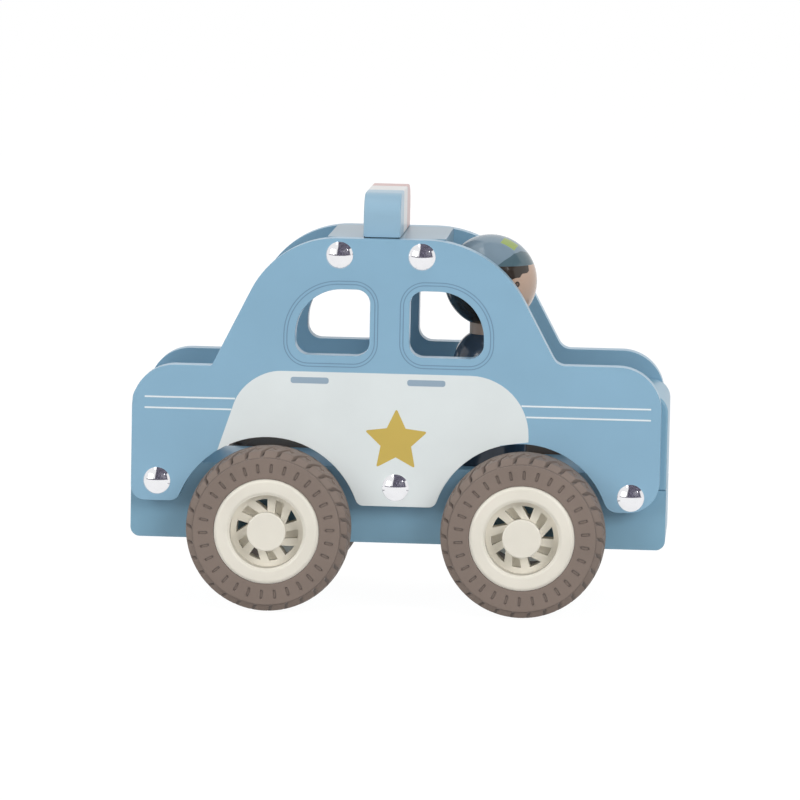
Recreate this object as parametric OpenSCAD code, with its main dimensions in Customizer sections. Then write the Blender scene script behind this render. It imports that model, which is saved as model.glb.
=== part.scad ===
// Toy police car: two cut plywood sides on a thick chassis block, held by steel rods with
// domed caps, with a block roof and light bar, rubber tyred wheels and a turned wooden driver.
// Millimetres. +X is the front, +Z is up, and the wheels stand on Z = 0.

/* [Chassis] */
// Length of the chassis block
chassis_len = 190.4; // [184:0.2:200]
// Width of the chassis block, which is also the gap between the two sides
chassis_w = 50; // [46:0.5:58]
// Height of the chassis block
chassis_h = 27; // [25:0.5:29]
// Rounding of the lower end edges of the chassis block
chassis_edge_r = 3.4; // [1:0.2:5]
// Thickness of the blocks that close the front and the rear
end_block_t = 8; // [7.4:0.1:8.3]
// Height of the top of the end blocks over the chassis underside
end_block_rise = 55.8; // [45:0.2:60]
// Depth of the rebates in the chassis top that hold the end blocks
rebate_depth = 5.7; // [3:0.1:7]
// Rounding of the outer top edge of the end blocks
end_block_r = 7; // [2:0.2:7.2]

/* [Sides] */
// Thickness of the side panels
panel_t = 7; // [5:0.5:9]
// Distance of the panels' rear edge from the chassis end
rear_inset = 0.7; // [0:0.1:3]
// Distance of the panels' front edge from the chassis end
front_inset = 2.3; // [0:0.1:4]
// Height of the panels' lower edge over the chassis underside
skirt_rise = 14; // [12:0.2:15]
// Height of the boot edge over the chassis underside
boot_rise = 62.5; // [58:0.5:66]
// Height of the bonnet edge over the chassis underside
bonnet_rise = 65.6; // [58:0.2:66]
// Height of the roof over the chassis underside
roof_rise = 108.8; // [108:0.2:116]
// Place of the foot of the rear pillar
rear_foot_x = -66.4; // [-70:0.2:-62]
// Place of the foot of the front pillar
front_foot_x = 55.8; // [53:0.2:60]
// Slope of the rear pillar in degrees
rear_slope = 63.6; // [60:0.2:66]
// Slope of the front pillar in degrees
front_slope = 61.7; // [59:0.2:64]
// Rounding from the rear pillar to the roof
rear_roof_r = 34; // [24:0.5:36]
// Rounding from the front pillar to the roof
front_roof_r = 39.5; // [30:0.5:44]
// Rounding of the boot corner
boot_r = 15; // [8:0.5:20]
// Rounding of the bonnet corner
bonnet_r = 15.5; // [8:0.5:20]
// How much larger the radius of the rear wheel arches is than the tyres'
rear_arch_spare = 4.4; // [3.6:0.1:4.8]
// How far the middle of the rear wheel arches lies below the axle
rear_arch_drop = 2; // [1.6:0.1:2.6]
// How much larger the radius of the front wheel arches is than the tyres'
front_arch_spare = 2.3; // [1.8:0.1:3]
// How far the middles of all wheel arches lie behind the axles
arch_setback = 1.2; // [0:0.1:1.4]

/* [Windows] */
// Width of a window
window_w = 26.4; // [20:0.2:27]
// Height of a window
window_h = 23.6; // [20:0.1:24]
// Height of the window sills over the chassis underside
sill_rise = 67.2; // [64:0.2:70]
// Width of the pillar between the windows
window_gap = 14; // [12:0.2:18]
// Middle of the pillar between the windows
window_mid_x = -3.6; // [-5:0.1:-2]
// Rounding of the large upper corner of a window
window_arc_r = 16.5; // [8:0.5:18]

/* [Roof] */
// Middle of the light bar and of the roof rods
roof_mid_x = -7.2; // [-8:0.1:-7]
// Thickness of the roof block
roof_block_t = 12; // [10:0.2:12.4]
// Reach of the roof block behind the light bar's middle
roof_rear_reach = 19.4; // [18:0.2:26]
// Reach of the roof block ahead of the light bar's middle
roof_front_reach = 22.6; // [18:0.2:22.8]
// Length of the light bar across the car
bar_len = 56; // [48:0.5:60]
// Thickness of the light bar along the car
bar_t = 13.1; // [9:0.1:16]
// Height of the light bar
bar_h = 15.7; // [12:0.1:18]
// Rounding of the upper ends of the light bar
bar_end_r = 8; // [2:0.5:10]

/* [Rods and caps] */
// Radius of the tie rods
rod_r = 1.5; // [1:0.1:1.7]
// Radius of the domed caps
cap_r = 4.8; // [4:0.05:5.2]
// Height of the domed caps
cap_h = 2.1; // [1.8:0.1:3]
// Distance of the rear chassis rod from the chassis end
rear_rod_inset = 9.9; // [9.8:0.1:12]
// Height of the rear chassis rod over the chassis underside
rear_rod_rise = 21; // [19:0.1:22]
// Place of the middle chassis rod
mid_rod_x = -0.5; // [-4:0.1:4]
// Height of the middle chassis rod over the chassis underside
mid_rod_rise = 20.7; // [19:0.1:22]
// Distance of the front chassis rod from the chassis end
front_rod_inset = 12.4; // [10:0.1:13]
// Height of the front chassis rod over the chassis underside
front_rod_rise = 19.3; // [19:0.1:22]
// Distance between the two roof rods
roof_rod_gap = 29.1; // [24:0.1:34]

/* [Wheels] */
// Outer radius of the tyres
tyre_r = 29.2; // [28:0.1:29.6]
// Width of the tyres
tyre_w = 21.5; // [18:0.5:24]
// Radius of the tyre shoulder, where the sidewall ends
shoulder_r = 26; // [24:0.1:26.6]
// Radius of the hub barrel that the tyre sits on
barrel_r = 16.2; // [15:0.1:17]
// Outer radius of the hub lips
lip_r = 18.6; // [17.6:0.1:19.4]
// Inner radius of the hub lips
lip_inner_r = 13; // [12:0.1:13.4]
// Radius of the hub boss
boss_r = 6.4; // [5.4:0.1:6.8]
// Radius of the hub caps
hub_cap_r = 6.9; // [6:0.1:7.4]
// Distance between the axles
wheelbase = 90; // [88:0.2:92]
// Middle of the wheelbase
wheelbase_mid_x = 0.3; // [-1:0.1:1]
// Height of the axles over the chassis underside
axle_rise = 6; // [5:0.1:7]
// Radius of the axles
axle_r = 2; // [1.5:0.1:2.4]
// Number of tread blocks round each shoulder
tread_count = 30; // [20:1:36]

/* [Driver] */
// Place of the driver along the car
driver_x = 30.3; // [29.8:0.1:33]
// Radius of the driver's head
head_r = 16.6; // [14:0.1:16.8]
// Height of the top of the head over the chassis top
head_top_rise = 81.8; // [76:0.2:82]
// Radius of the driver's base
base_r = 14.5; // [12:0.1:15]
// Radius of the driver's shoulders
torso_r = 12.8; // [11:0.1:13]
// Height of the shoulders over the driver's base
torso_h = 39.5; // [36:0.5:41]
// Radius of the driver's neck
neck_r = 7.2; // [5:0.1:7.6]
// Depth of the socket in the chassis that the driver stands in
socket_depth = 4; // [2:0.2:5]

/* [Hidden] */
$fn = 96;

// Clearances, and the overrun of cuts
cut_over = 1;
axle_clearance = 0.08;
fixed_clearance = 0.05;
washer_float = 0.3;
seat_clearance = 0.2;
socket_clearance = 1.5;

// Small sizes of the panels and the roof
skirt_rear_r = 5;
skirt_front_r = 11;
rear_foot_r = 1.2;
front_foot_r = 5;
rear_lobe_r = 4;
door_lobe_r = 3;
front_lobe_r = 5;
window_top_r = 5;
window_foot_r = 5;
roof_edge_r = 7;
bar_dowel_r = 3;
bar_dowel_gap = 30;
bar_dowel_depth = 8;

// Small sizes of the caps, the wheels and the axles
cap_bore_depth = 1.2;
washer_r = 5;
washer_t = 1.2;
crown_r = 44;
tread_ledge = 0.4;
shoulder_cut = 3;
groove_w = 1;
groove_len = 6.8;
groove_floor_r = 27.3;
groove_inset = 3.1;
groove_slant = 28;
groove_dip = 18;
notch_w = 2.2;
notch_len = 2.4;
notch_depth = 1.3;
notch_inset = 5.3;
notch_turn = 4.6;
mark_len = 3.4;
mark_w = 1.2;
mark_depth = 0.4;
mark_r = 22.4;
lip_w = 3;
lip_proud = 0.7;
lip_round_r = 1.5;
web_t = 6.5;
web_recess = 5;
window_rim = 2;
spoke_count = 5;
spoke_pair_w = 8.3;
spoke_pair_flare = 0.37;
spoke_mid_r = 8.7;
spoke_lean = 18;
pocket_w = 2.7;
pocket_flare = 0.15;
pocket_depth = 3;
hub_cap_t = 2;
hub_cap_round_r = 0.6;
spigot_r = 4;
boss_drop = 1.2;
spigot_len = 2.6;
front_wheel_turn = 5;
rear_wheel_turn = 26.5;

// Small sizes of the driver
base_round_r = 1.2;
neck_dowel_r = 3;
neck_dowel_len = 14;

// Heights and places worked out from the sizes above
axle_z = tyre_r;
base_z = axle_z - axle_rise;
deck_z = base_z + chassis_h;
half_len = chassis_len / 2;
half_w = chassis_w / 2;
side_y = half_w + panel_t;
rear_x = -half_len + rear_inset;
front_x = half_len - front_inset;
skirt_z = base_z + skirt_rise;
boot_z = base_z + boot_rise;
bonnet_z = base_z + bonnet_rise;
roof_z = base_z + roof_rise;
sill_z = base_z + sill_rise;
front_axle_x = wheelbase_mid_x + wheelbase / 2;
rear_axle_x = wheelbase_mid_x - wheelbase / 2;
rear_arch = [rear_axle_x - arch_setback, axle_z - rear_arch_drop];
rear_arch_r = tyre_r + rear_arch_spare;
front_arch = [front_axle_x - arch_setback, axle_z];
front_arch_r = tyre_r + front_arch_spare;
wheel_y = half_w + washer_float + washer_t + tyre_w / 2;
socket_z = deck_z - socket_depth;
driver_z = socket_z + seat_clearance;
head_z = deck_z + head_top_rise - head_r;
neck_z = head_z - sqrt(head_r * head_r - neck_r * neck_r);
rod_places = [
    [-half_len + rear_rod_inset, base_z + rear_rod_rise],
    [mid_rod_x, base_z + mid_rod_rise],
    [half_len - front_rod_inset, base_z + front_rod_rise]
];
roof_rod_places = [
    for (side = [-1, 1]) [roof_mid_x + side * roof_rod_gap / 2, roof_z - roof_block_t / 2]
];

panel_blue = "#8bb0c9";
chassis_blue = "#6f97b0";
tyre_brown = "#8c7a70";
hub_cream = "#e6e0d4";

function unit(v) = v / norm(v);

// Is the corner at b, met on the way from a to c, a right turn
function is_convex(a, b, c) = (b.x - a.x) * (c.y - b.y) - (b.y - a.y) * (c.x - b.x) < 0;

// Half the angle between the edges that run from b towards a and towards c
function corner_half(a, b, c) = acos(unit(a - b) * unit(c - b)) / 2;

// Direction from the corner at b to the middle of its rounding
function corner_way(a, b, c) = unit(unit(a - b) + unit(c - b));

// Middle of the rounding of the corner at b
function corner_centre(a, b, c, r) = b + corner_way(a, b, c) * r / sin(corner_half(a, b, c));

// The two points where the rounding of the corner at b leaves its edges
function corner_ends(a, b, c, r) =
    let (reach = r / tan(corner_half(a, b, c)))
    [b + unit(a - b) * reach, b + unit(c - b) * reach];

// The scrap between a corner at b, with straight edges towards a and c, and its rounding.
// It runs past the corner, so that its own edges lie clear of the outline's.
module corner_scrap(a, b, c, r) {
    ends = corner_ends(a, b, c, r);
    difference() {
        polygon([ends[0], b - corner_way(a, b, c) * cut_over, ends[1]]);
        translate(corner_centre(a, b, c, r)) circle(r);
    }
}

// A clockwise outline whose corners are rounded, each with its own radius, where 0 is sharp.
// An inner corner is filled straight across and then cut back by its circle.
module rounded_outline(points, radii) {
    last = len(points) - 1;
    corners = [
        for (i = [0:last])
            [points[i == 0 ? last : i - 1], points[i], points[i == last ? 0 : i + 1], radii[i]]
    ];
    difference() {
        polygon([
            for (k = corners)
                each is_convex(k[0], k[1], k[2]) || k[3] == 0
                    ? [k[1]] : corner_ends(k[0], k[1], k[2], k[3])
        ]);
        for (k = corners) if (k[3] > 0) {
            if (is_convex(k[0], k[1], k[2])) corner_scrap(k[0], k[1], k[2], k[3]);
            else translate(corner_centre(k[0], k[1], k[2], k[3])) circle(k[3]);
        }
    }
}

// The scrap at the foot of a wheel arch, where the arch meets the panel's lower edge
module arch_scrap(centre, arch_r, side, r) {
    rise = skirt_z - centre.y;
    foot_x = centre.x + side * sqrt(pow(arch_r + r, 2) - pow(rise + r, 2));
    tip_x = centre.x + side * sqrt(pow(arch_r, 2) - pow(rise, 2));
    round_centre = [foot_x, skirt_z + r];
    touch = centre + (round_centre - centre) * arch_r / (arch_r + r);
    difference() {
        polygon([[foot_x, skirt_z], [tip_x, skirt_z - cut_over], touch]);
        translate(round_centre) circle(r);
    }
}

// One window, on the side of the middle pillar that side gives
module window_outline(side) {
    inner = window_mid_x + side * window_gap / 2;
    outer = inner + side * window_w;
    top_z = sill_z + window_h;
    if (side < 0)
        rounded_outline(
            [[outer, sill_z], [outer, top_z], [inner, top_z], [inner, sill_z]],
            [window_foot_r, window_arc_r, window_top_r, window_foot_r]);
    else
        rounded_outline(
            [[inner, sill_z], [inner, top_z], [outer, top_z], [outer, sill_z]],
            [window_foot_r, window_top_r, window_arc_r, window_foot_r]);
}

// The side of the car seen from the right, with its arches, windows and rod holes
module panel_outline() {
    rear_top_x = rear_foot_x + (roof_z - boot_z) / tan(rear_slope);
    front_top_x = front_foot_x - (roof_z - bonnet_z) / tan(front_slope);
    difference() {
        rounded_outline(
            [
                [rear_x, skirt_z], [rear_x, boot_z], [rear_foot_x, boot_z], [rear_top_x, roof_z],
                [front_top_x, roof_z], [front_foot_x, bonnet_z], [front_x, bonnet_z],
                [front_x, skirt_z]
            ],
            [
                skirt_rear_r, boot_r, rear_foot_r, rear_roof_r,
                front_roof_r, front_foot_r, bonnet_r, skirt_front_r
            ]);
        translate(rear_arch) circle(rear_arch_r);
        arch_scrap(rear_arch, rear_arch_r, -1, rear_lobe_r);
        arch_scrap(rear_arch, rear_arch_r, 1, door_lobe_r);
        translate(front_arch) circle(front_arch_r);
        arch_scrap(front_arch, front_arch_r, -1, door_lobe_r);
        arch_scrap(front_arch, front_arch_r, 1, front_lobe_r);
        for (side = [-1, 1]) window_outline(side);
        for (place = concat(rod_places, roof_rod_places))
            translate(place) circle(rod_r + fixed_clearance);
    }
}

// Stands an outline drawn in X and Z up as a plate across Y, from y to y + depth
module plate(y, depth) {
    translate([0, y + depth, 0]) rotate([90, 0, 0]) linear_extrude(depth) children();
}

// A rod along Y, centred on the car, at a place given in X and Z
module cross_rod(place, r, len) {
    translate([place.x, 0, place.y]) rotate([90, 0, 0]) cylinder(h = len, r = r, center = true);
}

module chassis_block() {
    color(chassis_blue) difference() {
        plate(-half_w, chassis_w) rounded_outline(
            [
                [-half_len, base_z], [-half_len, deck_z - rebate_depth],
                [end_block_t - half_len, deck_z - rebate_depth], [end_block_t - half_len, deck_z],
                [half_len - end_block_t, deck_z], [half_len - end_block_t, deck_z - rebate_depth],
                [half_len, deck_z - rebate_depth], [half_len, base_z]
            ],
            [chassis_edge_r, 0, 0, 0, 0, 0, 0, chassis_edge_r]);
        for (axle_x = [rear_axle_x, front_axle_x])
            cross_rod([axle_x, axle_z], axle_r + axle_clearance, chassis_w + 2 * cut_over);
        for (place = rod_places)
            cross_rod(place, rod_r + fixed_clearance, chassis_w + 2 * cut_over);
        translate([driver_x, 0, socket_z])
            cylinder(h = socket_depth + cut_over, r = base_r + socket_clearance);
    }
}

module right_side_panel() {
    color(panel_blue) plate(-side_y, panel_t) panel_outline();
}

module left_side_panel() {
    color(panel_blue) plate(half_w, panel_t) panel_outline();
}

module front_end_block() {
    top_z = base_z + end_block_rise;
    foot_z = deck_z - rebate_depth;
    color(chassis_blue) plate(-half_w, chassis_w) rounded_outline(
        [
            [half_len - end_block_t, foot_z], [half_len - end_block_t, top_z],
            [half_len, top_z], [half_len, foot_z]
        ],
        [0, 0, end_block_r, 0]);
}

module rear_end_block() {
    mirror([1, 0, 0]) front_end_block();
}

module roof_block() {
    rear = roof_mid_x - roof_rear_reach;
    front = roof_mid_x + roof_front_reach;
    under_z = roof_z - roof_block_t;
    color(panel_blue) difference() {
        plate(-half_w, chassis_w) rounded_outline(
            [[rear, under_z], [rear, roof_z], [front, roof_z], [front, under_z]],
            [0, 0, 0, roof_edge_r]);
        for (place = roof_rod_places)
            cross_rod(place, rod_r + fixed_clearance, chassis_w + 2 * cut_over);
        bar_dowel_places() translate([0, 0, -bar_dowel_depth])
            cylinder(h = bar_dowel_depth + cut_over, r = bar_dowel_r + fixed_clearance);
    }
}

// Puts its child at each of the two dowels under the light bar, on the roof
module bar_dowel_places() {
    for (side = [-1, 1]) translate([roof_mid_x, side * bar_dowel_gap / 2, roof_z]) children();
}

module light_bar() {
    half = bar_len / 2;
    color("#dfe6ea") difference() {
        translate([roof_mid_x - bar_t / 2, 0, roof_z]) rotate([90, 0, 90]) linear_extrude(bar_t)
            rounded_outline(
                [[-half, 0], [-half, bar_h], [half, bar_h], [half, 0]],
                [0, bar_end_r, bar_end_r, 0]);
        bar_dowel_places() translate([0, 0, -cut_over])
            cylinder(h = bar_dowel_depth + cut_over, r = bar_dowel_r + fixed_clearance);
    }
}

module light_bar_dowels() {
    len = 2 * (bar_dowel_depth - fixed_clearance);
    color("#d8b98a") bar_dowel_places() cylinder(h = len, r = bar_dowel_r, center = true);
}

module chassis_tie_rods() {
    color("silver") for (place = rod_places) cross_rod(place, rod_r, tie_rod_len());
}

module roof_tie_rods() {
    color("silver") for (place = roof_rod_places) cross_rod(place, rod_r, tie_rod_len());
}

// A tie rod ends just short of the bottom of the bores of its two caps
function tie_rod_len() = 2 * (side_y + cap_bore_depth - fixed_clearance);

// A domed cap on the plane Z = 0, bored from below for the end of a rod
module dome_cap() {
    dome_r = (cap_r * cap_r + cap_h * cap_h) / (2 * cap_h);
    difference() {
        intersection() {
            translate([0, 0, cap_h - dome_r]) sphere(dome_r);
            cylinder(h = cap_h + cut_over, r = cap_r + cut_over);
        }
        translate([0, 0, -cut_over])
            cylinder(h = cap_bore_depth + cut_over, r = rod_r + fixed_clearance);
    }
}

// The domed caps of one side, on the outer face of its panel
module dome_caps(side) {
    color("#d9dde0") for (place = concat(rod_places, roof_rod_places))
        translate([place.x, side * side_y, place.y]) rotate([-side * 90, 0, 0]) dome_cap();
}

module right_dome_caps() {
    dome_caps(-1);
}

module left_dome_caps() {
    dome_caps(1);
}

// An axle reaches through both hubs, just short of the spigots of the hub caps
module axle(axle_x) {
    half = wheel_y + tyre_w / 2 - boss_drop - spigot_len - fixed_clearance;
    color("silver") cross_rod([axle_x, axle_z], axle_r, 2 * half);
}

module front_axle() {
    axle(front_axle_x);
}

module rear_axle() {
    axle(rear_axle_x);
}

// The two washers of an axle, seated against the inner faces of its hubs
module axle_washers(axle_x) {
    color("#b9bcc0") for (side = [-1, 1])
        translate([axle_x, side * (half_w + washer_float + washer_t / 2), axle_z])
            rotate([90, 0, 0]) difference() {
                cylinder(h = washer_t, r = washer_r, center = true);
                cylinder(h = washer_t + 2 * cut_over, r = axle_r + fixed_clearance, center = true);
            }
}

module front_axle_washers() {
    axle_washers(front_axle_x);
}

module rear_axle_washers() {
    axle_washers(rear_axle_x);
}

// Places a wheel piece, drawn about Z with its outer face up, on the right (-1) or left (1)
module at_wheel(axle_x, side, turn) {
    translate([axle_x, side * wheel_y, axle_z]) rotate([-side * 90, 0, 0])
        rotate([0, 0, turn]) children();
}

// Section of a tyre: crowned tread, shoulders set in behind a ledge, seats for the hub lips
module tyre_section() {
    half = tyre_w / 2;
    lip_seat_r = lip_r + fixed_clearance;
    lip_seat = half - lip_w - fixed_clearance;
    ledge = half - tread_ledge;
    tread_half = half - shoulder_cut;
    intersection() {
        polygon([
            [barrel_r + fixed_clearance, -lip_seat], [lip_seat_r, -lip_seat], [lip_seat_r, -half],
            [shoulder_r, -half], [shoulder_r, -ledge], [tyre_r, -tread_half],
            [tyre_r, tread_half], [shoulder_r, ledge], [shoulder_r, half], [lip_seat_r, half],
            [lip_seat_r, lip_seat], [barrel_r + fixed_clearance, lip_seat]
        ]);
        translate([tyre_r - crown_r, 0]) circle(crown_r);
    }
}

// The cut of one slanted groove, which dips from the tread towards the ledge of its shoulder
module groove_cut(side) {
    height = tyre_r - shoulder_r;
    translate([groove_floor_r, 0, side * (tyre_w / 2 - groove_inset)])
        rotate([-side * groove_slant, 0, 0]) rotate([0, -side * groove_dip, 0])
            translate([height / 2, 0, 0]) cube([height, groove_w, groove_len], center = true);
}

// The cut of one three-cornered notch in the tread, which points towards its shoulder
module notch_cut(side) {
    half_len = notch_len / 2;
    half_w = notch_w / 2;
    translate([tyre_r, 0, side * (tyre_w / 2 - notch_inset)])
        rotate([0, side * 90, 0]) linear_extrude(2 * notch_depth, center = true)
            polygon([[-half_len, 0], [half_len, half_w], [half_len, -half_w]]);
}

// A sunk mark with round ends
module mark_cut() {
    straight = mark_len - mark_w;
    translate([mark_r, 0, tyre_w / 2 - mark_depth]) linear_extrude(mark_depth + cut_over) {
        square([straight, mark_w], center = true);
        for (end = [-1, 1]) translate([end * straight / 2, 0]) circle(mark_w / 2);
    }
}

// A rubber tyre: slanted grooves run in from each shoulder by turns, notches stand between their
// inner ends, and short radial marks are sunk round the outer sidewall
module tyre() {
    pitch = 360 / tread_count;
    color(tyre_brown) difference() {
        rotate_extrude() tyre_section();
        for (side = [-1, 1], i = [0:tread_count - 1]) rotate([0, 0, (i + (1 + side) / 4) * pitch]) {
            groove_cut(side);
            rotate([0, 0, notch_turn]) notch_cut(side);
        }
        for (i = [0:tread_count - 1]) rotate([0, 0, i * pitch]) mark_cut();
    }
}

// A bar of the given width along X and height along Y, from zero, with both upper corners round
module lip_section(width, height) {
    rounded_outline(
        [[0, 0], [0, height], [width, height], [width, 0]], [0, lip_round_r, lip_round_r, 0]);
}

// Section of a hub: the barrel under the tyre and a lip on each side that holds the tyre in
module rim_section() {
    half = tyre_w / 2;
    translate([lip_inner_r, -half]) square([barrel_r - lip_inner_r, tyre_w]);
    translate([lip_inner_r, half - lip_w])
        lip_section(lip_r - lip_inner_r, lip_w + lip_proud);
    translate([lip_inner_r, -half]) square([lip_r - lip_inner_r, lip_w]);
}

// One flared strip for each spoke pair of a hub, leaning off the radius that it lies on
module spoke_strips(width, flare) {
    half_len = lip_inner_r - spoke_mid_r + boss_r;
    inner = width / 2 - flare / 2 * half_len;
    outer = width / 2 + flare / 2 * half_len;
    for (i = [0:spoke_count - 1]) rotate((i + 1 / 2) * 360 / spoke_count)
        translate([spoke_mid_r, 0]) rotate(spoke_lean) polygon([
            [-half_len, -inner], [-half_len, inner], [half_len, outer], [half_len, -outer]
        ]);
}

// The openings between the spoke pairs of a hub
module spoke_windows() {
    difference() {
        circle(lip_inner_r - window_rim);
        circle(boss_r);
        spoke_strips(spoke_pair_w, spoke_pair_flare);
    }
}

// The pockets in the spoke pairs of a hub
module spoke_pockets() {
    intersection() {
        difference() {
            circle(lip_inner_r - window_rim);
            circle(boss_r);
        }
        spoke_strips(pocket_w, pocket_flare);
    }
}

// A moulded hub: rim, boss and a recessed web of paired spokes with a pocket in each pair
module hub() {
    half = tyre_w / 2;
    web_top = half - web_recess;
    color(hub_cream) difference() {
        union() {
            rotate_extrude() rim_section();
            translate([0, 0, web_top - web_t]) difference() {
                cylinder(h = web_t, r = lip_inner_r + fixed_clearance);
                translate([0, 0, -cut_over]) linear_extrude(web_t + 2 * cut_over) spoke_windows();
                translate([0, 0, web_t - pocket_depth]) linear_extrude(pocket_depth + cut_over)
                    spoke_pockets();
            }
            translate([0, 0, -half]) cylinder(h = tyre_w - boss_drop, r = boss_r);
        }
        translate([0, 0, -half - cut_over])
            cylinder(h = tyre_w + 2 * cut_over, r = axle_r + fixed_clearance);
        translate([0, 0, half - boss_drop - spigot_len])
            cylinder(h = spigot_len + cut_over, r = spigot_r + fixed_clearance);
    }
}

// A hub cap: a flat round disc on the boss with a spigot pressed into it over the axle's end
module hub_cap() {
    seat = tyre_w / 2 - boss_drop;
    color(hub_cream) rotate_extrude() {
        translate([0, seat]) difference() {
            square([hub_cap_r, hub_cap_t]);
            corner_scrap([0, hub_cap_t], [hub_cap_r, hub_cap_t], [hub_cap_r, 0], hub_cap_round_r);
        }
        translate([0, seat - spigot_len + fixed_clearance]) square([spigot_r, spigot_len]);
    }
}

module front_right_tyre() {
    at_wheel(front_axle_x, -1, front_wheel_turn) tyre();
}

module front_left_tyre() {
    at_wheel(front_axle_x, 1, front_wheel_turn) tyre();
}

module rear_right_tyre() {
    at_wheel(rear_axle_x, -1, rear_wheel_turn) tyre();
}

module rear_left_tyre() {
    at_wheel(rear_axle_x, 1, rear_wheel_turn) tyre();
}

module front_right_hub() {
    at_wheel(front_axle_x, -1, front_wheel_turn) hub();
}

module front_left_hub() {
    at_wheel(front_axle_x, 1, front_wheel_turn) hub();
}

module rear_right_hub() {
    at_wheel(rear_axle_x, -1, rear_wheel_turn) hub();
}

module rear_left_hub() {
    at_wheel(rear_axle_x, 1, rear_wheel_turn) hub();
}

module front_right_hub_cap() {
    at_wheel(front_axle_x, -1, front_wheel_turn) hub_cap();
}

module front_left_hub_cap() {
    at_wheel(front_axle_x, 1, front_wheel_turn) hub_cap();
}

module rear_right_hub_cap() {
    at_wheel(rear_axle_x, -1, rear_wheel_turn) hub_cap();
}

module rear_left_hub_cap() {
    at_wheel(rear_axle_x, 1, rear_wheel_turn) hub_cap();
}

// The hole for half of the dowel that joins the driver's head and body
module neck_dowel_hole() {
    translate([0, 0, neck_z]) cylinder(
        h = neck_dowel_len + 2 * fixed_clearance, r = neck_dowel_r + fixed_clearance, center = true);
}

// A turned body: a tapered skirt, round shoulders and a neck
module driver_body() {
    color("#2f3a52") translate([driver_x, 0, 0]) difference() {
        union() {
            translate([0, 0, driver_z]) rotate_extrude() {
                difference() {
                    polygon([[0, 0], [base_r, 0], [torso_r, torso_h], [0, torso_h]]);
                    corner_scrap([torso_r, torso_h], [base_r, 0], [0, 0], base_round_r);
                }
                translate([0, torso_h]) intersection() {
                    circle(torso_r);
                    square(torso_r);
                }
            }
            translate([0, 0, driver_z + torso_h])
                cylinder(h = neck_z - driver_z - torso_h, r = neck_r);
        }
        neck_dowel_hole();
    }
}

// A ball head with a flat on its underside that seats on the neck
module driver_head() {
    color("#c9a58c") translate([driver_x, 0, 0]) difference() {
        translate([0, 0, head_z]) sphere(head_r);
        translate([-head_r, -head_r, head_z - 2 * head_r])
            cube([2 * head_r, 2 * head_r, neck_z - head_z + 2 * head_r]);
        neck_dowel_hole();
    }
}

module driver_neck_dowel() {
    color("#d8b98a") translate([driver_x, 0, neck_z])
        cylinder(h = neck_dowel_len, r = neck_dowel_r, center = true);
}

chassis_block();
right_side_panel();
left_side_panel();
front_end_block();
rear_end_block();
roof_block();
light_bar();
light_bar_dowels();
chassis_tie_rods();
roof_tie_rods();
right_dome_caps();
left_dome_caps();
front_axle();
rear_axle();
front_axle_washers();
rear_axle_washers();
front_right_tyre();
front_left_tyre();
rear_right_tyre();
rear_left_tyre();
front_right_hub();
front_left_hub();
rear_right_hub();
rear_left_hub();
front_right_hub_cap();
front_left_hub_cap();
rear_right_hub_cap();
rear_left_hub_cap();
driver_body();
driver_head();
driver_neck_dowel();
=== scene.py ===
from math import acos, asin, atan2, cos, degrees, hypot, pi, radians, sin, sqrt, tan

import bmesh
import bpy
from mathutils import Matrix, Vector


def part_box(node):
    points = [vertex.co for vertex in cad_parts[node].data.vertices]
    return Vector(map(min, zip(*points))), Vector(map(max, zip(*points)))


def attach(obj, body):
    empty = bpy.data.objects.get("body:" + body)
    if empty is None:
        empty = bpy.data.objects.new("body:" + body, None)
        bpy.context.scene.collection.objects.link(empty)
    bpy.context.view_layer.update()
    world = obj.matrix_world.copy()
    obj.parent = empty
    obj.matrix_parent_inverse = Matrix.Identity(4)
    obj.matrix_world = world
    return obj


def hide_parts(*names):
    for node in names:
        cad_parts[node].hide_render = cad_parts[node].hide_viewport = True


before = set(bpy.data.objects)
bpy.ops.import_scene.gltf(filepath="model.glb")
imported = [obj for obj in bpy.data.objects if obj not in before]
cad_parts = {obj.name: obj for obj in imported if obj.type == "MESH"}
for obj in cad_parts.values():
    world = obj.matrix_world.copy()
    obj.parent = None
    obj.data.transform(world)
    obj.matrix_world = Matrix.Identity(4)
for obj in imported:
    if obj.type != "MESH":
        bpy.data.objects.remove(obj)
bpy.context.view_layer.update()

# Studio: a pale seamless floor under a white surround, two large soft lamps in front, one above
# and a weak one behind. Dark curtains before and behind the car show in polished pieces only.
scene = bpy.context.scene
scene.view_settings.view_transform = "Standard"


def shaded(name):
    """A new material: itself, its node tree and its main shader."""
    material = bpy.data.materials.new(name)
    material.use_nodes = True
    tree = material.node_tree
    return material, tree, tree.nodes["Principled BSDF"]


def seen_directly(tree):
    """One for camera, mirror and see-through rays, and zero for the rays that carry light."""
    path = tree.nodes.new("ShaderNodeLightPath")
    total = path.outputs["Is Camera Ray"]
    for ray in ("Is Glossy Ray", "Is Transmission Ray"):
        either = tree.nodes.new("ShaderNodeMath")
        either.operation = "MAXIMUM"
        tree.links.new(total, either.inputs[0])
        tree.links.new(path.outputs[ray], either.inputs[1])
        total = either.outputs[0]
    return total


def add_mesh(name, bm, material):
    """A bmesh as a new object at the origin, with one material."""
    mesh = bpy.data.meshes.new(name)
    bm.to_mesh(mesh)
    bm.free()
    mesh.materials.append(material)
    piece = bpy.data.objects.new(name, mesh)
    scene.collection.objects.link(piece)
    return piece


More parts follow.
